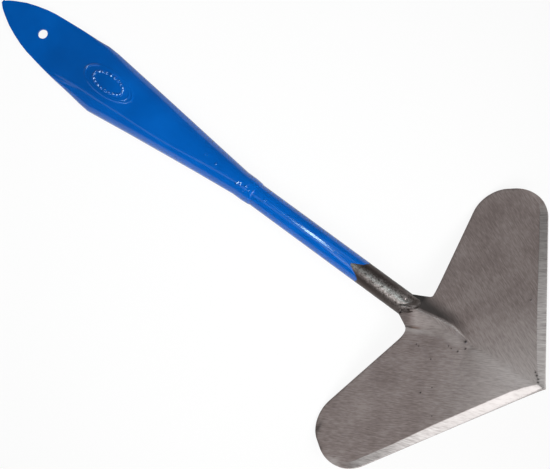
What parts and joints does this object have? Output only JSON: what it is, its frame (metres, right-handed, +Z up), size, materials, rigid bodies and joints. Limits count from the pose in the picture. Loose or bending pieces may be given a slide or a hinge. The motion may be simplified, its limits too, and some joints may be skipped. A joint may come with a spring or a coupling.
{
  "type": "warren hoe",
  "caption": "Short all-steel hand hoe: a pointed, heart-shaped blade on a round shank, with a tapered sheet-steel grip flattened to a leaf that has a hanging hole.",
  "frame": {"origin": "on the table, under the middle of the tool's box as it lies on its two heels and on the grip's belly", "axes": "+X from the butt of the grip towards the blade's point, +Y across the blade, +Z up towards the face with the rib"},
  "size_m": [0.3474, 0.1674, 0.0816],
  "materials": {
    "ground_steel": "bare plate with coarse grinding lines",
    "painted_bar": "gloss paint on the upper length, bare oxidised steel near the blade",
    "blue_paint": "gloss enamel on rolled sheet steel",
    "weld_steel": "bare weld bead, heat darkened",
    "painted_weld": "spot welds under gloss paint"
  },
  "bodies": {
    "root": {"blade": "ground_steel", "shank": "painted_bar", "grip": "blue_paint", "neck_weld": "weld_steel", "mouth_welds": "painted_weld"}
  },
  "joints": []
}
